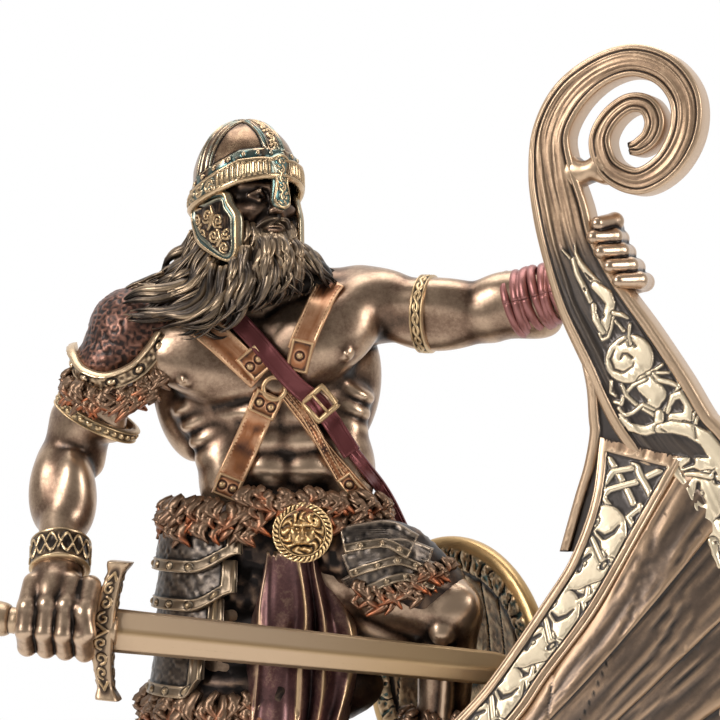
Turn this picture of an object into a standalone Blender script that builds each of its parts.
"""A viking warrior standing in the bow of a longship: a cold-cast bronze statuette.

Pieces: the warrior, the longship bow on its sea base, the sword in his fist and the round shield.
The free forms are set out on a front elevation drawn in squares: columns count to the right, rows
count down, and depth counts away from the viewer. Everything is turned into metres by at().
"""

import math
import random

import bmesh
import bpy
from mathutils import Matrix, Vector
from mathutils.bvhtree import BVHTree

# Driving sizes, in metres
FIGURE_HEIGHT = 0.258
HULL_WALL = 0.0030
STRAKE_STEP = 0.0008
STEM_THICKNESS = 0.0108
STEM_RIM = 0.0009
BASE_LENGTH = 0.232
BASE_WIDTH = 0.116
BASE_HEIGHT = 0.0085
BASE_EDGE = 0.0020
BLADE_LENGTH = 0.124
BLADE_WIDTH = 0.0130
BLADE_THICKNESS = 0.0030
GUARD_SPAN = 0.0405
GUARD_THICKNESS = 0.0066
GUARD_DEPTH = 0.0085
GRIP_DIAMETER = 0.0080
GRIP_LENGTH = 0.0262
POMMEL_DIAMETER = 0.0105
SHIELD_DIAMETER = 0.082
SHIELD_THICKNESS = 0.0026
SHIELD_DISH = 0.0055
BOSS_DIAMETER = 0.017
BUCKLE_DIAMETER = 0.0176
STRAP_WIDTH = 0.0068
BALDRIC_WIDTH = 0.0056
STRAP_THICKNESS = 0.0020
FIT_GAP = 0.0003

# The elevation drawing
FIGURE_ROWS = 860
SQUARE = FIGURE_HEIGHT / FIGURE_ROWS
ORIGIN_COLUMN = 410
ORIGIN_DEPTH = -23
GROUND_ROW = 1090
DECK_ROW = 978
FOREDECK_ROW = 815
STEP_U = -236

# The bow's own lines: u runs towards the stem, v across to the far side
BOW_TURN = math.radians(22)
BOW_COLUMN = 600
BOW_DEPTH = -100
BASE_MIDDLE_U = -205

# Meshing
CLAY_GRAIN = 0.0012
HEAD_GRAIN = 0.0008
BODY_FINENESS = 0.0245
HEAD_FINENESS = 0.0215

# The head looks towards the stem
HEAD_TURN = 38

MATERIALS = {
    "bronze": ((0.31, 0.20, 0.12), 0.36, 1.0),
    "ship_bronze": ((0.36, 0.24, 0.15), 0.42, 1.0),
    "blade_bronze": ((0.40, 0.27, 0.16), 0.34, 1.0),
    "shield_bronze": ((0.24, 0.16, 0.10), 0.45, 1.0),
}


def clear_scene():
    for item in list(bpy.data.objects):
        bpy.data.objects.remove(item, do_unlink=True)


def material(name):
    colour, roughness, metallic = MATERIALS[name]
    made = bpy.data.materials.get(name) or bpy.data.materials.new(name)
    made.use_nodes = True
    shader = made.node_tree.nodes["Principled BSDF"]
    shader.inputs["Base Color"].default_value = (*colour, 1)
    shader.inputs["Roughness"].default_value = roughness
    shader.inputs["Metallic"].default_value = metallic
    return made


def at(column, row, depth=0.0):
    """A place on the elevation drawing, in metres."""
    return Vector((column - ORIGIN_COLUMN, depth - ORIGIN_DEPTH, GROUND_ROW - row)) * SQUARE


def on_bow(u, v, row):
    """A place in the bow's own lines, in metres."""
    along, across = math.cos(BOW_TURN), math.sin(BOW_TURN)
    column = BOW_COLUMN + along * u + across * v
    depth = BOW_DEPTH - across * u + along * v
    return at(column, row, depth)


def turned(yaw=0.0, roll=0.0, pitch=0.0):
    """A rotation in degrees: yaw about the upright, roll in the drawing's plane, pitch nodding."""
    yaw_turn = Matrix.Rotation(math.radians(yaw), 4, "Z")
    roll_turn = Matrix.Rotation(-math.radians(roll), 4, "Y")
    return yaw_turn @ roll_turn @ Matrix.Rotation(math.radians(pitch), 4, "X")


def round_template(sides, levels):
    """The points and faces of a unit ball, poles up and down."""
    points = [Vector((0, 0, -1))]
    for level in range(1, levels):
        turn = math.pi * level / levels
        for i in range(sides):
            around = math.tau * i / sides
            reach = math.sin(turn)
            points.append(Vector((reach * math.cos(around), reach * math.sin(around), -math.cos(turn))))
    points.append(Vector((0, 0, 1)))
    faces = [(0, 1 + (i + 1) % sides, 1 + i) for i in range(sides)]
    for level in range(levels - 2):
        low = 1 + level * sides
        for i in range(sides):
            j = (i + 1) % sides
            faces.append((low + i, low + j, low + sides + j, low + sides + i))
    top = 1 + (levels - 2) * sides
    faces += [(top + i, top + (i + 1) % sides, len(points) - 1) for i in range(sides)]
    return points, faces


BALL = round_template(18, 12)
CAPSULE = round_template(14, 9)


class Shape:
    """Points and faces that are gathered before they become one mesh."""

    def __init__(self):
        self.points = []
        self.faces = []

    def add(self, points, faces):
        first = len(self.points)
        self.points.extend(points)
        self.faces.extend([first + i for i in face] for face in faces)

    def loft(self, rings, mirrored=False):
        """Joins rings of points, all of one length, into a closed skin. The ends of mirrored rings,
        whose second half repeats the first backwards on the other side, are closed rung by rung."""
        count = len(rings[0])
        last = count * (len(rings) - 1)
        if mirrored:
            faces = []
            for i in range(count // 2 - 1):
                rung = (i, i + 1, count - 2 - i, count - 1 - i)
                faces += [tuple(reversed(rung)), tuple(last + k for k in rung)]
        else:
            faces = [tuple(reversed(range(count))), tuple(range(last, last + count))]
        for level in range(len(rings) - 1):
            low = level * count
            for i in range(count):
                j = (i + 1) % count
                faces.append((low + i, low + j, low + count + j, low + count + i))
        self.add([point for ring in rings for point in ring], faces)

    def move(self, shape):
        self.points = [shape @ point for point in self.points]


def ball(clay, centre, radii, **turn):
    """An ellipsoid of clay: its radii are across, in depth and up, in squares."""
    shape = Matrix.Translation(at(*centre)) @ turned(**turn) @ Matrix.Diagonal((*(Vector(radii) * SQUARE), 1))
    points, faces = BALL
    clay.add([shape @ point for point in points], faces)


def limb_between(clay, start, end, start_radius, end_radius):
    """A tapered, round-ended limb between two places in metres."""
    way = end - start
    turn = way.to_track_quat("Z", "Y").to_matrix() if way.length > 1e-7 else Matrix.Identity(3)
    points, faces = CAPSULE
    placed = []
    for point in points:
        if point.z < 0:
            placed.append(start + turn @ point * start_radius)
        else:
            placed.append(end + turn @ point * end_radius)
    clay.add(placed, faces)


def limb(clay, start, end, start_radius, end_radius=None):
    end_radius = start_radius if end_radius is None else end_radius
    limb_between(clay, at(*start), at(*end), start_radius * SQUARE, end_radius * SQUARE)


def chain(clay, places, radii):
    """A row of limbs through several places."""
    for step in range(len(places) - 1):
        limb(clay, places[step], places[step + 1], radii[step], radii[step + 1])


def bow_chain(clay, places, radii):
    for step in range(len(places) - 1):
        limb_between(
            clay,
            on_bow(*places[step]),
            on_bow(*places[step + 1]),
            radii[step] * SQUARE,
            radii[step + 1] * SQUARE,
        )


def new_object(name, shape, material_name):
    data = bpy.data.meshes.new(name)
    data.from_pydata(shape.points, [], shape.faces)
    mesh = bmesh.new()
    mesh.from_mesh(data)
    bmesh.ops.triangulate(mesh, faces=mesh.faces)
    bmesh.ops.recalc_face_normals(mesh, faces=mesh.faces)
    if mesh.calc_volume(signed=True) < 0:
        bmesh.ops.reverse_faces(mesh, faces=mesh.faces)
    mesh.to_mesh(data)
    mesh.free()
    data.materials.append(material(material_name))
    made = bpy.data.objects.new(name, data)
    bpy.context.scene.collection.objects.link(made)
    return made


def as_cutter(item):
    item.hide_render = True
    item.display_type = "WIRE"
    return item


def boolean(item, other, operation):
    step = item.modifiers.new(operation.lower() + "_" + other.name, "BOOLEAN")
    step.operation = operation
    step.solver = "EXACT"
    step.object = other
    return step


def smooth_line(points, samples):
    """Catmull-Rom points through the given ones, any number of dimensions."""
    rows = [Vector(p) for p in points]
    rows = [rows[0] * 2 - rows[1]] + rows + [rows[-1] * 2 - rows[-2]]
    spans = len(rows) - 3
    line = []
    for i in range(samples):
        place = i / (samples - 1) * spans
        k = min(int(place), spans - 1)
        t = place - k
        a, b, c, d = rows[k : k + 4]
        line.append(
            (b * 2 + (c - a) * t + (a * 2 - b * 5 + c * 4 - d) * t**2 + (b * 3 - a - c * 3 + d) * t**3) / 2
        )
    return line


# The warrior's bare body


def trunk(clay):
    ball(clay, (265, 375, 15), (94, 56, 90), roll=-8)
    ball(clay, (286, 455, 16), (76, 45, 82))
    ball(clay, (286, 540, 18), (94, 56, 58))
    limb(clay, (160, 338, 22), (356, 302, 20), 36)
    ball(clay, (185, 398, 38), (34, 34, 66), roll=10)
    ball(clay, (347, 388, 36), (34, 34, 66), roll=-8)
    ball(clay, (203, 362, -24), (53, 28, 36), roll=-12)
    ball(clay, (320, 342, -24), (50, 28, 37), roll=8)
    ball(clay, (222, 478, 4), (24, 36, 38))
    ball(clay, (350, 472, 4), (24, 36, 38))
    for row, middle in ((414, 283), (440, 286), (466, 289), (493, 292)):
        for side in (-1, 1):
            ball(clay, (middle + side * 20, row, -24), (20, 12, 14))
    for step in range(3):
        ball(clay, (190 + step * 9, 420 + step * 20, -6), (16, 20, 8), roll=-24)
        ball(clay, (362 - step * 5, 408 + step * 20, -6), (14, 20, 8), roll=24)
    for side, column in ((-1, 222), (1, 308)):
        ball(clay, (column, 345, 48), (46, 24, 44), roll=side * 14)
        ball(clay, (265 + side * 18, 440, 48), (20, 16, 80))
        ball(clay, (284 + side * 42, 560, 52), (48, 40, 50))


def neck(clay):
    limb(clay, (264, 300, 18), (252, 238, 6), 36, 33)
    limb(clay, (262, 292, 22), (176, 322, 25), 24, 22)
    limb(clay, (268, 286, 22), (350, 292, 22), 24, 22)


def head_at(side, row, ahead):
    """A place on the turned head: side counts to his left, ahead counts forward from its middle."""
    return (246 + 0.788 * side + 0.616 * ahead, row, -4 + 0.616 * side - 0.788 * ahead)


def face(clay):
    ball(clay, head_at(0, 190, 0), (44, 46, 60), yaw=HEAD_TURN)
    ball(clay, head_at(0, 214, 22), (30, 26, 42), yaw=HEAD_TURN)
    for side in (-1, 1):
        limb(clay, head_at(side * 6, 189, 45), head_at(side * 27, 187, 33), 5, 5)
        ball(clay, head_at(side * 15, 198, 39), (7, 6, 5), yaw=HEAD_TURN)
        ball(clay, head_at(side * 24, 212, 32), (13, 11, 8), yaw=HEAD_TURN)
        limb(clay, head_at(0, 225, 50), head_at(side * 20, 233, 38), 5, 4)
    limb(clay, head_at(0, 190, 46), head_at(0, 213, 56), 5, 7)
    ball(clay, head_at(0, 216, 51), (10, 7, 5), yaw=HEAD_TURN)
    limb(clay, head_at(-7, 233, 46), head_at(7, 233, 46), 4)


def right_arm(clay):
    limb(clay, (122, 352, 18), (62, 460, 46), 40, 31)
    ball(clay, (86, 420, 18), (26, 26, 46), roll=-30)
    limb(clay, (60, 468, 44), (63, 552, -20), 30, 21)
    ball(clay, (56, 494, 26), (30, 30, 40))
    ball(clay, (62, 470, 62), (20, 18, 22))


def left_arm(clay):
    ball(clay, (368, 304, 14), (42, 40, 40))
    limb(clay, (378, 310, 12), (490, 312, -12), 36, 30)
    ball(clay, (440, 300, -6), (46, 26, 24))
    ball(clay, (448, 330, -2), (44, 24, 20))
    limb(clay, (492, 311, -12), (572, 292, -40), 33, 24)
    ball(clay, (520, 300, -24), (36, 30, 34))


def legs(clay):
    limb(clay, (242, 570, 18), (222, 765, -4), 54, 35)
    limb(clay, (222, 765, -4), (210, 935, 24), 34, 21)
    ball(clay, (218, 820, 22), (32, 34, 56))
    ball(clay, (222, 768, -26), (22, 16, 24))
    limb(clay, (330, 568, 12), (448, 606, -38), 54, 37)
    limb(clay, (450, 608, -36), (438, 780, -14), 34, 22)
    ball(clay, (448, 672, -6), (28, 32, 50))
    ball(clay, (456, 600, -58), (22, 16, 22))


def boots(clay):
    limb(clay, (210, 870, 18), (210, 950, 24), 34, 26)
    limb(clay, (208, 955, 26), (192, 962, -48), 22, 18)
    limb(clay, (444, 728, -14), (438, 792, -12), 36, 25)
    limb(clay, (438, 795, -8), (462, 800, -72), 21, 17)


# Hands


def right_fist(clay, grip_start, grip_end):
    """The fist closed round the grip: palm, four fingers and the thumb."""
    along = (grip_end - grip_start).normalized()
    front = Vector((0, -1, 0))
    front = (front - along * front.dot(along)).normalized()
    up = along.cross(front) * -1
    if up.z < 0:
        up = -up
    thick = GRIP_DIAMETER / 2
    finger = 0.0029
    span = (grip_end - grip_start).length
    wrist = at(63, 560, -26)
    back_of_hand = grip_start + along * span * 0.50 + front * (thick + 0.0015) + up * 0.009
    limb_between(clay, wrist, back_of_hand, 0.0068, 0.0086)
    for share in (0.16, 0.38, 0.60, 0.82):
        root = grip_start + along * span * share
        knuckle = root + front * (thick + finger * 1.15) + up * 0.0055
        bend = root + front * (thick + finger * 0.9) - up * 0.0048
        under = root - up * (thick + finger * 0.95)
        tip = root - front * (thick + finger * 0.8)
        limb_between(clay, knuckle + up * 0.006 - front * 0.002, knuckle, finger * 1.2, finger * 1.2)
        limb_between(clay, knuckle, bend, finger * 1.15, finger)
        limb_between(clay, bend, under, finger, finger)
        limb_between(clay, under, tip, finger, finger * 0.85)
    heel = grip_start + along * span * 0.3 - front * (thick + 0.001) + up * 0.0055
    ball_end = grip_start + along * span * 0.8 - front * (thick + 0.001) + up * 0.0055
    limb_between(clay, heel, ball_end, 0.005, 0.005)


def left_fist(clay):
    """The hand that comes from behind and closes round the stem's outer edge."""
    bow_chain(clay, ((-46, 48, 290), (-12, 40, 268)), (23, 20))
    bow_chain(clay, ((-14, 37, 248), (8, 36, 282)), (18, 17))
    for row, edge in ((243, -10), (257, -3), (271, 6), (285, 15)):
        places = ((edge - 8, 32, row + 4), (edge + 13, 20, row), (edge + 15, -8, row - 1))
        places += ((edge - 2, -27, row),)
        bow_chain(clay, places, (9, 8, 7.5, 6.5))
    bow_chain(clay, ((-26, 34, 248), (-4, 26, 233), (4, 2, 227), (-8, -19, 230)), (11, 10, 8, 7))


# Dress


def skirt_ring(centre, across, deep, count=28):
    points = []
    for i in range(count):
        turn = math.tau * i / count
        column = centre[0] + across * math.cos(turn)
        depth = centre[2] + deep * math.sin(turn)
        points.append(at(column, centre[1], depth))
    return points


def kilt(clay):
    rings = (
        ((284, 505, 18), 98, 60),
        ((276, 560, 20), 106, 64),
        ((268, 620, 22), 108, 66),
        ((266, 700, 26), 116, 72),
    )
    clay.loft([skirt_ring(*ring) for ring in rings])
    for row, across, deep in ((572, 110, 68), (612, 112, 70), (652, 112, 70)):
        lip = [skirt_ring((270, row - 30, 21), across - 7, deep - 6)]
        lip += [skirt_ring((270, row, 21), across, deep)]
        clay.loft(lip)
    chain(clay, ((345, 545, -20), (395, 566, -34), (430, 590, -34)), (40, 42, 38))


def loincloth(clay):
    ball(clay, (292, 668, -22), (52, 22, 126))
    folds = 7
    for i in range(folds):
        share = i / (folds - 1)
        top = (270 + 60 * share, 556, -38)
        middle = (258 + 82 * share, 660, -40 - 6 * math.sin(math.pi * share))
        hem = (236 + 100 * share, 790, -44 - 10 * math.sin(math.pi * share))
        chain(clay, (top, middle, hem), (8, 11 - 2 * (i % 2), 14 - 4 * (i % 2)))


def tufts(clay, places, count, length, droop, thick, seed):
    """Locks of fur along a line, hanging down and a little outward from the body's axis."""
    dice = random.Random(seed)
    for column, row, depth in smooth_line(places, count):
        sway = dice.uniform(-7, 7)
        fall = length * dice.uniform(0.75, 1.2)
        root = (column, row, depth)
        away = Vector((column - 275, depth - 15)).normalized() * droop
        tip = (column + sway + away.x, row + fall, depth + away.y)
        limb(clay, root, tip, thick * dice.uniform(0.85, 1.15), thick * 0.3)


def fur(clay):
    belt = [(175, 512, 18), (200, 506, -28), (240, 504, -50)]
    belt += [(286, 504, -56), (332, 504, -50), (366, 502, -20)]
    back = [(374, 505, 25), (344, 510, 74), (285, 512, 92), (215, 512, 78), (178, 514, 35)]
    chain(clay, belt, (17, 18, 17, 14, 16, 16))
    chain(clay, back, (15, 15, 15, 15, 15))
    tufts(clay, belt[:4], 15, 30, 10, 8, 3)
    tufts(clay, belt[3:], 12, 26, 10, 8, 4)
    tufts(clay, back, 16, 24, 10, 8, 5)
    hem = [(262, 690, -46), (215, 694, -44), (166, 690, -6), (154, 686, 40), (200, 690, 88), (290, 690, 96)]
    tufts(clay, hem, 26, 34, 8, 10, 6)
    thigh = [(358, 596, -54), (382, 600, -64), (408, 592, -70), (430, 576, -68), (442, 556, -48)]
    tufts(clay, thigh, 10, 18, 4, 9, 7)
    shoulder = [(66, 384, 4), (80, 398, -28), (112, 404, -38), (142, 398, -34), (160, 380, -28)]
    tufts(clay, shoulder, 12, 26, 2, 10, 8)
    tufts(clay, [(70, 386, 20), (84, 392, 54), (124, 396, 60)], 7, 26, 2, 10, 9)


def boot_fur(clay):
    for centre, across, deep, seed in (((211, 858, 16), 34, 36, 10), ((445, 718, -14), 34, 36, 11)):
        around = []
        for i in range(9):
            turn = math.tau * i / 8
            around.append((centre[0] + across * math.cos(turn), centre[1], centre[2] + deep * math.sin(turn)))
        tufts(clay, around, 14, 24, 0, 8, seed)


def pauldron(clay):
    ball(clay, (126, 338, 12), (50, 50, 50), roll=20)
    ball(clay, (108, 388, 12), (42, 44, 34), roll=25)
    front = ((72, 350, 2), (76, 364, -26), (102, 378, -42), (136, 368, -44), (162, 340, -38))
    chain(clay, front, (6, 7, 7, 7, 6))
    chain(clay, ((72, 350, 2), (78, 352, 40), (112, 362, 62), (156, 350, 66)), (6, 6, 6, 6))


def arm_rings(clay):
    hoop(clay, (98, 420, 26), Vector((60, -108, -28)), 37, 5, lean=0)
    hoop(clay, (425, 313, -2), Vector((112, -2, -24)), 38, 5, lean=0)
    hoop(clay, (63, 548, -18), Vector((4, -90, -62)), 29, 9, lean=0)
    for step in range(4):
        place = (516 + step * 12, 305 - step * 3, -22 - step * 4)
        hoop(clay, place, Vector((80, 20, -28)), 35 - step * 2, 5, lean=(-6, 4, 5, -3)[step])


def hoop(clay, centre, way, radius, thick, lean):
    """A ring round a limb that runs along way, given as column, rise and depth."""
    axis = Vector((way.x, way.z, way.y)).normalized()
    turn = axis.to_track_quat("Z", "Y").to_matrix().to_4x4() @ Matrix.Rotation(math.radians(lean), 4, "X")
    place = Matrix.Translation(at(*centre)) @ turn
    count = 24
    points = [
        place @ Vector((math.cos(math.tau * i / count), math.sin(math.tau * i / count), 0)) * 1.0
        for i in range(count)
    ]
    centre_point = at(*centre)
    points = [centre_point + (point - centre_point) * radius * SQUARE for point in points]
    for i in range(count):
        limb_between(clay, points[i], points[(i + 1) % count], thick * SQUARE, thick * SQUARE)


def helmet(clay):
    ball(clay, head_at(0, 182, 0), (51, 56, 60), yaw=HEAD_TURN)
    band, crest = [], []
    for i in range(25):
        turn = math.tau * i / 24
        band.append(head_at(53 * math.sin(turn), 194 - 10 * math.cos(turn), 58 * math.cos(turn)))
    for i in range(13):
        turn = math.radians(-10 + 200 * i / 12)
        crest.append(head_at(0, 183 - 60 * math.sin(turn), 56 * math.cos(turn)))
    for low, high in zip(band, band[1:]):
        limb(clay, (low[0], low[1] + 2, low[2]), (high[0], high[1] + 2, high[2]), 5.5)
        limb(clay, (low[0], low[1] - 9, low[2]), (high[0], high[1] - 9, high[2]), 5)
    chain(clay, crest, [6] * 13)
    chain(clay, (head_at(0, 176, 56), head_at(0, 194, 60), head_at(0, 212, 63)), (7, 6, 6))
    for side in (-1, 1):
        rings = []
        for reach in (-2.5, 2.5):
            ring = []
            rim = ((-33, 200), (25, 196), (43, 218), (43, 257), (33, 266), (-13, 245), (-33, 217))
            for ahead, row in rim:
                ring.append(at(*head_at(side * (46 - 0.005 * ahead * ahead + reach), row, ahead)))
            rings.append(ring)
        clay.loft(rings)


def hair_and_beard(clay):
    ball(clay, (270, 258, -42), (33, 26, 36), yaw=38)
    ball(clay, (252, 292, -36), (60, 26, 30))
    ball(clay, (210, 292, -8), (52, 46, 36))
    ball(clay, (228, 262, 26), (50, 42, 52))
    ball(clay, (308, 284, 0), (34, 34, 24))
    dice = random.Random(21)
    falls = (
        ((212, 262, -30), (190, 286, -40), (156, 296, -24)),
        ((206, 270, -34), (176, 304, -44), (148, 322, -34)),
        ((214, 276, -40), (190, 314, -50), (158, 330, -42)),
        ((226, 278, -46), (212, 318, -58), (176, 338, -50)),
        ((236, 282, -52), (230, 318, -60), (206, 338, -56)),
        ((244, 270, -58), (240, 306, -64), (224, 334, -60)),
        ((256, 262, -64), (256, 298, -68), (238, 326, -62)),
        ((268, 256, -70), (268, 292, -72), (256, 318, -64)),
        ((280, 254, -70), (284, 286, -68), (278, 312, -58)),
        ((292, 256, -58), (300, 284, -52), (300, 304, -44)),
        ((300, 258, -36), (316, 276, -34), (330, 288, -26)),
        ((196, 240, -8), (182, 264, -14), (160, 280, -6)),
        ((198, 232, 20), (184, 262, 28), (164, 286, 30)),
        ((222, 232, 52), (214, 272, 66), (206, 318, 70)),
        ((250, 232, 52), (252, 276, 66), (256, 322, 70)),
        ((282, 236, 36), (296, 268, 50), (312, 296, 56)),
    )
    for fall in falls:
        chain(clay, fall, (11 + dice.uniform(-1, 2), 10, 4))


def belt_medal(clay):
    centre = at(304, 527, -64)
    radius = BUCKLE_DIAMETER / 2
    rings = []
    for y in (0.0012, -0.0024):
        turns = [math.tau * i / 28 for i in range(28)]
        rings.append([centre + Vector((math.cos(t) * radius, y, math.sin(t) * radius)) for t in turns])
    clay.loft(rings)
    rim = []
    for i in range(21):
        turn = math.tau * i / 20
        away = Vector((math.cos(turn), 0, math.sin(turn)))
        rim.append(centre + away * radius * 0.9 + Vector((0, -0.002, 0)))
    for start, end in zip(rim, rim[1:]):
        limb_between(clay, start, end, 0.0009, 0.0009)
    ball(clay, (304, 524, -72), (11, 7, 14))
    ball(clay, (304, 534, -76), (7, 5, 8))
    for side in (-1, 1):
        ball(clay, (304 + side * 11, 512, -71), (5, 4, 5))


def strap(clay, skin, places, width):
    """A flat strap laid on the skin along places given by column and row."""
    line = smooth_line([Vector((column, row, 0)) for column, row in places], 12)
    rings = []
    points = []
    normals = []
    for spot in line:
        start = at(spot.x, spot.y, -400)
        hit, normal, _, _ = skin.ray_cast(start, Vector((0, 1, 0)))
        if hit is None:
            hit, normal, _, _ = skin.find_nearest(at(spot.x, spot.y, -60))
        points.append(hit)
        normals.append(normal if normal.y < 0 else -normal)
    for i, point in enumerate(points):
        ahead = (points[min(i + 1, len(points) - 1)] - points[max(i - 1, 0)]).normalized()
        side = ahead.cross(normals[i]).normalized() * width / 2
        lift = normals[i] * STRAP_THICKNESS * 0.6
        sink = normals[i] * -STRAP_THICKNESS
        rings.append([point + side + lift, point - side + lift, point - side + sink, point + side + sink])
    clay.loft(rings)


def straps(clay):
    skin = BVHTree.FromPolygons(clay.points, clay.faces)
    crossing = (276, 388)
    for places in (
        ((212, 332), (242, 358), crossing),
        ((336, 272), (318, 322), crossing),
        (crossing, (258, 410), (240, 452), (226, 494)),
        (crossing, (304, 408), (332, 452), (352, 492)),
    ):
        strap(clay, skin, places, STRAP_WIDTH)
    strap(clay, skin, ((232, 320), (282, 368), (322, 406), (356, 450), (384, 492)), BALDRIC_WIDTH)


# The sword's own line, from the pommel end of the grip to the point


def sword_frame():
    """Where the grip meets the guard, and the blade's direction, width and flat directions."""
    guard = at(112, 624, -52)
    along = (at(528, 661, -92) - guard).normalized()
    flat = Vector((0, -1, 0))
    flat = (flat - along * flat.dot(along)).normalized()
    return guard, along, flat, along.cross(flat)


def grip_rings(stop, extra=0.0):
    """The pommel and the grip as rings of sixteen points; extra widens them to the fist's room."""
    guard, along, flat, edge = sword_frame()
    round_grip = GRIP_DIAMETER / 2 + extra
    pommel = POMMEL_DIAMETER / 2 + extra
    end = -GUARD_THICKNESS / 2 - GRIP_LENGTH
    turned_line = (
        (end - POMMEL_DIAMETER * 0.8 - extra, pommel * 0.35),
        (end - POMMEL_DIAMETER * 0.7, pommel * 0.8),
        (end - POMMEL_DIAMETER * 0.4, pommel),
        (end - POMMEL_DIAMETER * 0.1 + extra, pommel * 0.85),
        (end + extra, round_grip),
        (stop, round_grip),
    )
    turns = [math.pi * (i + 0.5) / 8 for i in range(16)]
    return [
        [guard + along * d + (edge * math.cos(t) + flat * math.sin(t)) * radius for t in turns]
        for d, radius in turned_line
    ]


def build_sword():
    """One closed skin from the pommel over the grip and the guard to the blade's point."""
    guard, along, flat, edge = sword_frame()
    start = GUARD_THICKNESS / 2
    row = [1 - 2 * i / 7 for i in range(8)]
    around = [(share, 1) for share in row] + [(-share, -1) for share in row]
    rings = grip_rings(-start - 0.0007)
    for way in (-1, 1):
        ring = []
        for share, side in around:
            bend = 0.0032 * share * share - 0.0008
            swell = 1 - 0.42 * abs(share) + (0.14 if abs(share) == 1 else 0)
            deep = flat * side * GUARD_DEPTH / 2 * swell
            ahead = along * (way * start * swell + bend)
            ring.append(guard + edge * share * GUARD_SPAN / 2 + deep + ahead)
        rings.append(ring)
    tapers = ((0.0, 1.0), (0.84, 0.76), (0.96, 0.34), (1.0, 0.16))
    for distance, taper in tapers:
        middle = guard + along * (start - 0.0005 + (BLADE_LENGTH + 0.0005) * distance)
        ring = []
        for share, side in around:
            # A flat lozenge with blunt edges.
            thick = 1.12 - 0.87 * abs(share)
            deep = flat * side * BLADE_THICKNESS / 2 * taper * thick
            ring.append(middle + edge * share * BLADE_WIDTH / 2 * taper + deep)
        rings.append(ring)
    mesh = Shape()
    mesh.loft(rings)
    return new_object("sword", mesh, "blade_bronze")


def fist_clearance():
    """The room that the fist leaves for the grip, the pommel and the guard's back."""
    guard, along, flat, edge = sword_frame()
    mesh = Shape()
    mesh.loft(grip_rings(GUARD_THICKNESS / 4, FIT_GAP))
    grip_part = new_object("grip_room", mesh, "blade_bronze")
    mesh = Shape()
    rings = []
    count = 9
    for i in range(count):
        share = -1.03 + 2.06 * i / (count - 1)
        bend = 0.0032 * share * share - 0.0008
        middle = guard + edge * share * GUARD_SPAN / 2 + along * bend
        deep = flat * (GUARD_DEPTH / 2 + FIT_GAP)
        back = along * (-GUARD_THICKNESS / 2 - FIT_GAP)
        ahead = along * 0.012
        near, away = middle + deep, middle - deep
        rings.append([near + ahead, near + back, away + back, away + ahead])
    mesh.loft(rings)
    guard_room = new_object("guard_room", mesh, "blade_bronze")
    return as_cutter(grip_part), as_cutter(guard_room)


# The shield


def build_shield():
    """A dished round shield that stands on its rim on the foredeck, its back to the viewer's left."""
    mesh = Shape()
    radius = SHIELD_DIAMETER / 2
    count = 28
    boss = BOSS_DIAMETER / 2
    front = (
        (radius, 0.0),
        (radius, SHIELD_THICKNESS),
        (radius * 0.9, SHIELD_THICKNESS * 1.25),
        (radius * 0.89, SHIELD_THICKNESS),
        (radius * 0.55, SHIELD_THICKNESS + SHIELD_DISH * 0.6),
        (boss * 1.1, SHIELD_THICKNESS + SHIELD_DISH),
        (boss * 0.85, SHIELD_THICKNESS + SHIELD_DISH + boss * 0.35),
        (boss * 0.45, SHIELD_THICKNESS + SHIELD_DISH + boss * 0.62),
    )
    back = (
        (boss * 0.8, SHIELD_DISH + boss * 0.05),
        (radius * 0.55, SHIELD_DISH * 0.6),
        (radius * 0.88, SHIELD_DISH * 0.08),
        (radius * 0.89, -SHIELD_THICKNESS * 0.3),
    )
    rings = []
    for distance, height in tuple(reversed(front)) + tuple(reversed(back)):
        ring = []
        for i in range(count):
            turn = math.tau * i / count
            ring.append(Vector((distance * math.cos(turn), distance * math.sin(turn), height)))
        rings.append(ring)
    mesh.loft(rings)
    outward = Vector((0.772, 0.635, 0.0))
    centre_row = FOREDECK_ROW - SHIELD_DIAMETER / 2 / SQUARE - FIT_GAP / SQUARE
    centre = at(455, centre_row, 48)
    turn = outward.to_track_quat("Z", "Y").to_matrix().to_4x4()
    mesh.move(Matrix.Translation(centre) @ turn)
    return new_object("shield", mesh, "shield_bronze")


# The longship's bow


def stem_band(name, centres, widths, samples, thickness):
    """A curved plank in the bow's middle plane: centre line in u and row, widths in squares."""
    line = smooth_line(
        [Vector((u, row, width)) for (u, row), width in zip(centres, widths)], samples
    )
    half = thickness / SQUARE / 2
    rim = STEM_RIM / SQUARE
    mesh = Shape()
    rings = []
    for i, point in enumerate(line):
        ahead = line[min(i + 1, samples - 1)] - line[max(i - 1, 0)]
        ahead = Vector((ahead.x, ahead.y)).normalized()
        side = Vector((-ahead.y, ahead.x))
        width = point.z / 2
        soft = min(width * 0.25, rim * 0.8)
        field = width * 0.7 - soft * 0.5
        section = [(width, -half + soft), (width - soft, -half), (field, -half)]
        section += [(field - soft * 0.6, -half + rim)]
        section += [(-reach, v) for reach, v in reversed(section)]
        section += [(-width, half - soft), (-width + soft, half), (width - soft, half), (width, half - soft)]
        ring = [on_bow(point.x + side.x * reach, v, point.y + side.y * reach) for reach, v in section]
        rings.append(ring)
    mesh.loft(rings)
    return new_object(name, mesh, "ship_bronze")


SPIRAL = (
    ((28, 146), 14),
    ((44, 138), 20),
    ((42, 119), 20),
    ((22, 119), 19),
    ((2, 132), 19),
    ((-6, 152), 22),
    ((4, 178), 24),
    ((32, 190), 26),
    ((60, 175), 28),
    ((77, 145), 30),
    ((77, 112), 31),
    ((58, 86), 31),
    ((26, 75), 31),
    ((-8, 84), 32),
    ((-38, 108), 36),
    ((-55, 142), 38),
    ((-54, 180), 48),
    ((-46, 216), 56),
    ((-36, 254), 58),
    ((-16, 300), 70),
    ((14, 350), 82),
    ((42, 398), 92),
    ((66, 440), 100),
)

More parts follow.
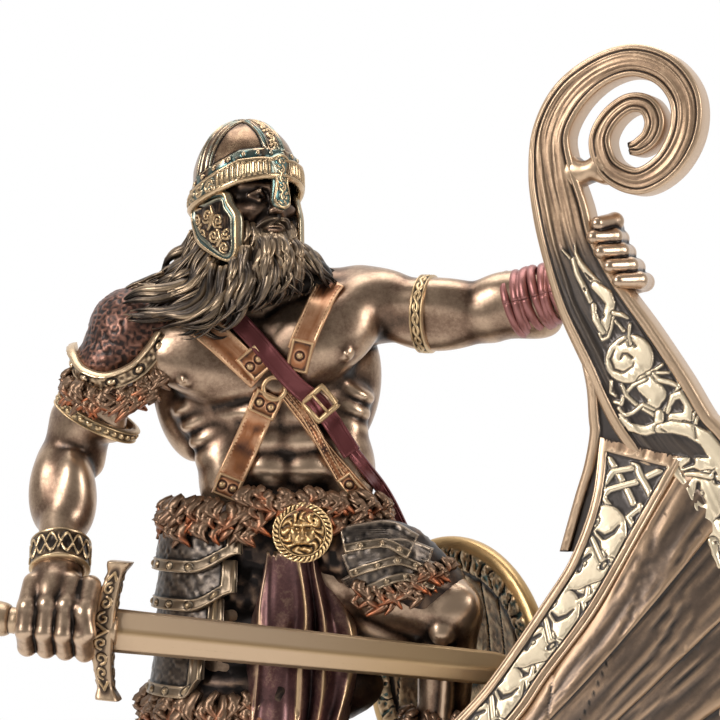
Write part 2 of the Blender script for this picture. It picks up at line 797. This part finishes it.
STEM_AND_KEEL = (
    ((50, 402), 74),
    ((98, 470), 80),
    ((135, 560), 82),
    ((150, 660), 82),
    ((132, 770), 80),
    ((84, 880), 76),
    ((4, 974), 66),
    ((-110, 1034), 54),
    ((-250, 1058), 46),
    ((-400, 1064), 40),
    ((-534, 1065), 38),
)


def webs():
    """The two small bridges that tie the spiral to itself."""
    mesh = Shape()
    half = STEM_THICKNESS / 2
    for u, row, reach in ((-22, 186, 15), (60, 124, 10)):
        rings = []
        for v in (-half * 0.75 / SQUARE, half * 0.75 / SQUARE):
            turns = [math.tau * i / 8 for i in range(8)]
            rings.append([on_bow(u + reach * math.cos(t), v, row + reach * math.sin(t)) for t in turns])
        mesh.loft(rings)
    return new_object("spiral_webs", mesh, "ship_bronze")


# Upper and lower edges of each strake: where it leaves the stem, and where the hull is cut off
STATIONS = 12
STRAKE_STARTS = (
    (-6, 434),
    (76, 452),
    (108, 516),
    (126, 590),
    (132, 670),
    (112, 770),
    (60, 880),
    (-30, 975),
)
AFT_U = -545
AFT_BEAM = 165
AFT_SHEER_ROW = 925
KEEL_ROW = 1078
SHEER_TOP = (
    (-6, 13, 434),
    (-9, 30, 493),
    (-25, 45, 547),
    (-47, 58, 587),
    (-87, 80, 652),
    (-115, 92, 689),
    (-180, 118, 757),
    (-270, 142, 827),
    (-390, 160, 888),
    (AFT_U, AFT_BEAM, AFT_SHEER_ROW),
)
SHEER_LOW = (
    (76, 13, 452),
    (43, 32, 517),
    (3, 55, 596),
    (-37, 75, 656),
    (-63, 88, 697),
    (-110, 104, 750),
    (-190, 130, 815),
    (-290, 150, 876),
    (-400, 163, 925),
    (AFT_U, AFT_BEAM + 3, 960),
)


def bezier(a, b, c, d, t):
    return a * (1 - t) ** 3 + b * 3 * t * (1 - t) ** 2 + c * 3 * t * t * (1 - t) + d * t**3


def strake_lines():
    """Points along every strake edge, from the stem to the cut, as u, v and row."""
    lines = [smooth_line(SHEER_TOP, STATIONS), smooth_line(SHEER_LOW, STATIONS)]
    count = len(STRAKE_STARTS)
    low = lines[1]
    for k in range(2, count):
        share = (k - 1) / (count - 2)
        u, row = STRAKE_STARTS[k]
        turn = math.radians(90 * share)
        end = Vector((AFT_U, (AFT_BEAM + 3) * math.cos(turn), 960 + (KEEL_ROW - 960) * math.sin(turn)))
        if k == count - 1:
            end.y = 8
        start = Vector((u, 13, row))
        reach = (start - end).length
        way = (Vector((-0.42, 0.38, 0.82)) * (1 - share) + Vector((-0.97, 0.04, 0.22)) * share).normalized()
        leave = start + way * reach * 0.30
        arrive = end + Vector((reach * 0.42, 0, -reach * 0.10 * (1 - share)))
        lines.append([bezier(start, leave, arrive, end, i / (STATIONS - 1)) for i in range(STATIONS)])
    return lines


def hull_section(lines, i, inset, ahead=0):
    """One section of the hull from the near sheer under the keel to the far sheer, moved inwards."""
    step = STRAKE_STEP / SQUARE
    points = []
    for k, line in enumerate(lines):
        lean = math.radians(90) * k / (len(lines) - 1)
        u, v, row = line[i]
        v = max(v - inset * math.cos(lean), 2 if inset == HULL_WALL / SQUARE else 5)
        row -= inset * math.sin(lean)
        if 0 < k < len(lines) - 1:
            points.append((u, v + (0 if inset else step), row - step))
        points.append((u, v, row))
    near = [on_bow(u + ahead, -v, row) for u, v, row in points]
    return near + [on_bow(u + ahead, v, row) for u, v, row in reversed(points)]


def hull():
    """The clinker shell, and the two level decks that fill its bottom."""
    lines = strake_lines()
    wall = HULL_WALL / SQUARE
    shell, filling, levels = Shape(), Shape(), Shape()
    rings = []
    for i in range(STATIONS):
        rings.append(hull_section(lines, i, 0) + list(reversed(hull_section(lines, i, wall))))
    shell.loft(rings, mirrored=True)
    middle = [hull_section(lines, i, wall * 0.5, 5 if i == 0 else 0) for i in range(STATIONS)]
    filling.loft(middle, mirrored=True)
    deep = GROUND_ROW + 60
    stair = [(AFT_U + 3, DECK_ROW), (STEP_U, DECK_ROW), (STEP_U, FOREDECK_ROW), (220, FOREDECK_ROW)]
    stair += [(220, deep), (AFT_U + 3, deep)]
    levels.loft([[on_bow(u, v, row) for u, row in stair] for v in (-230, 230)])
    made = new_object("hull", shell, "ship_bronze")
    decks = as_cutter(new_object("decks", filling, "ship_bronze"))
    boolean(decks, as_cutter(new_object("deck_levels", levels, "ship_bronze")), "INTERSECT")
    boolean(made, decks, "UNION")
    return made


def sea_base():
    """A low oval sea with a flat underside and swells along the hull."""
    mesh = Shape()
    count = 36
    half_long, half_wide = BASE_LENGTH / 2, BASE_WIDTH / 2
    rings = []
    top = BASE_HEIGHT - BASE_EDGE
    for inset, height in ((BASE_EDGE, 0), (0, BASE_EDGE), (0, top), (BASE_EDGE, BASE_HEIGHT)):
        ring = []
        for i in range(count):
            turn = math.tau * i / count
            across, along = math.sin(turn), math.cos(turn)
            u = math.copysign(abs(along) ** 0.62, along) * (half_long - inset)
            v = math.copysign(abs(across) ** 0.72, across) * (half_wide - inset)
            place = on_bow(BASE_MIDDLE_U + u / SQUARE, v / SQUARE, GROUND_ROW)
            ring.append(place + Vector((0, 0, height)))
        rings.append(ring)
    mesh.loft(rings)
    return new_object("sea_base", mesh, "ship_bronze")


def strand(name, line, width, height, swing, turns, phase, samples):
    """A raised ribbon that weaves along a line given as u, v, row and the reach to either side."""
    mesh = Shape()
    path = smooth_line(line, samples)
    spots = []
    for i, point in enumerate(path):
        ahead = path[min(i + 1, samples - 1)] - path[max(i - 1, 0)]
        side = Vector((-ahead.z, 0, ahead.x)).normalized()
        weave = math.sin(math.tau * turns * i / (samples - 1) + phase) * point.w * swing
        spots.append(Vector((point.x, point.y, point.z)) + side * weave)
    rings = []
    for i, spot in enumerate(spots):
        ahead = spots[min(i + 1, samples - 1)] - spots[max(i - 1, 0)]
        side = Vector((-ahead.z, 0, ahead.x)).normalized() * width / SQUARE / 2
        raised = Vector((0, -height / SQUARE, 0))
        sunk = Vector((0, height / SQUARE * 1.2, 0))
        rings.append([on_bow(*(spot + reach)) for reach in (side + sunk, raised, -side + sunk)])
    mesh.loft(rings)
    return new_object(name, mesh, "ship_bronze")


STEM_FACE = -STEM_THICKNESS / 2 / SQUARE + STEM_RIM / SQUARE
STEM_FIELD = (
    (-44, STEM_FACE, 232, 7),
    (-30, STEM_FACE, 275, 13),
    (-4, STEM_FACE, 325, 18),
    (26, STEM_FACE, 375, 24),
    (58, STEM_FACE, 425, 28),
    (92, STEM_FACE, 480, 26),
    (124, STEM_FACE, 550, 24),
)


def band_middle():
    """The middle of the near gunwale band, for the strands that run along it."""
    lines = strake_lines()
    spots = []
    for i in range(1, STATIONS - 1):
        top, low = lines[0][i], lines[1][i]
        middle = (top + low) / 2
        reach = (Vector((top.x, top.z)) - Vector((low.x, low.z))).length
        spots.append((middle.x, -middle.y - 0.6, middle.z, reach * 0.3))
    return spots


def build_bow():
    """The hull is the body; the keel, the stem with its spiral, the relief and the base are joined to it."""
    bow = hull()
    bow.name = "longship_bow"
    spiral = stem_band("stem_spiral", [p for p, _ in SPIRAL], [w for _, w in SPIRAL], 42, STEM_THICKNESS)
    keel = stem_band(
        "stem_and_keel",
        [p for p, _ in STEM_AND_KEEL],
        [w for _, w in STEM_AND_KEEL],
        17,
        STEM_THICKNESS * 0.97,
    )
    others = [keel, spiral, webs(), sea_base()]
    for n, phase in enumerate((0.0, math.pi)):
        others.append(strand(f"stem_strand_{n}", STEM_FIELD, 0.0026, 0.0006, 0.8, 3.0, phase, 25))
        others.append(strand(f"band_strand_{n}", band_middle(), 0.0026, 0.0008, 0.8, 4.0, phase, 29))
    for other in others:
        boolean(bow, as_cutter(other), "UNION")
    return bow


def stem_clearance():
    """The stem grown by the fit gap, which the left hand is cut by."""
    centres = [p for p, _ in SPIRAL[15:]]
    widths = [w + 2 * FIT_GAP / SQUARE for _, w in SPIRAL[15:]]
    room = stem_band("stem_room", centres, widths, 26, STEM_THICKNESS + 2 * FIT_GAP)
    return as_cutter(room)


def deck_clearance():
    """Blocks under the soles, a fit gap above the two decks."""
    mesh = Shape()
    for centre, row in (((205, 0), DECK_ROW), ((448, -30), FOREDECK_ROW)):
        top = at(centre[0], row, centre[1]) + Vector((0, 0, FIT_GAP))
        rings = []
        for drop in (0.0, -0.03):
            corners = ((-0.018, -0.024), (0.018, -0.024), (0.018, 0.024), (-0.018, 0.024))
            rings.append([top + Vector((x, y, drop)) for x, y in corners])
        mesh.loft(rings)
    return as_cutter(new_object("deck_room", mesh, "ship_bronze"))


def keep_largest_shell(data):
    """Drops the closed pockets and loose crumbs that fusing leaves inside or beside the main skin."""
    mesh = bmesh.new()
    mesh.from_mesh(data)
    shells, seen = [], set()
    for first in mesh.verts:
        if first in seen:
            continue
        shell, waiting = [first], [first]
        seen.add(first)
        while waiting:
            for edge in waiting.pop().link_edges:
                for vert in edge.verts:
                    if vert not in seen:
                        seen.add(vert)
                        shell.append(vert)
                        waiting.append(vert)
        shells.append(shell)
    shells.sort(key=len)
    for shell in shells[:-1]:
        bmesh.ops.delete(mesh, geom=shell, context="VERTS")
    mesh.to_mesh(data)
    mesh.free()


def settled(item, name):
    """The item with its modifiers carried out and only its largest shell kept."""
    ready = item.evaluated_get(bpy.context.evaluated_depsgraph_get())
    data = bpy.data.meshes.new_from_object(ready)
    bpy.data.objects.remove(item, do_unlink=True)
    keep_largest_shell(data)
    data.name = name
    made = bpy.data.objects.new(name, data)
    bpy.context.scene.collection.objects.link(made)
    return made


def cast(name, clay, grain, fineness):
    """Fuses the overlapping forms into one skin, softens it and gives it its facets."""
    form = new_object(name + "_form", clay, "bronze")
    fuse = form.modifiers.new("fuse", "REMESH")
    fuse.mode = "VOXEL"
    fuse.voxel_size = grain
    soften = form.modifiers.new("soften", "SMOOTH")
    soften.factor = 0.5
    soften.iterations = 3
    made = settled(form, name)
    facet = made.modifiers.new("facet", "DECIMATE")
    facet.ratio = fineness
    return made


def build_warrior():
    body, head = Shape(), Shape()
    trunk(body)
    neck(body)
    right_arm(body)
    left_arm(body)
    straps(body)
    legs(body)
    boots(body)
    guard, along, _, _ = sword_frame()
    grip_end = guard - along * GUARD_THICKNESS / 2
    right_fist(body, grip_end - along * GRIP_LENGTH, grip_end)
    left_fist(body)
    kilt(body)
    loincloth(body)
    fur(body)
    boot_fur(body)
    pauldron(body)
    arm_rings(body)
    belt_medal(body)
    face(head)
    helmet(head)
    hair_and_beard(head)
    warrior = cast("figure", body, CLAY_GRAIN, BODY_FINENESS)
    head = cast("head", head, HEAD_GRAIN, HEAD_FINENESS)
    boolean(warrior, as_cutter(head), "UNION")
    for other in (*fist_clearance(), stem_clearance(), deck_clearance()):
        boolean(warrior, other, "DIFFERENCE")
    return settled(warrior, "warrior")


def main():
    clear_scene()
    build_bow()
    build_warrior()
    build_sword()
    build_shield()


main()
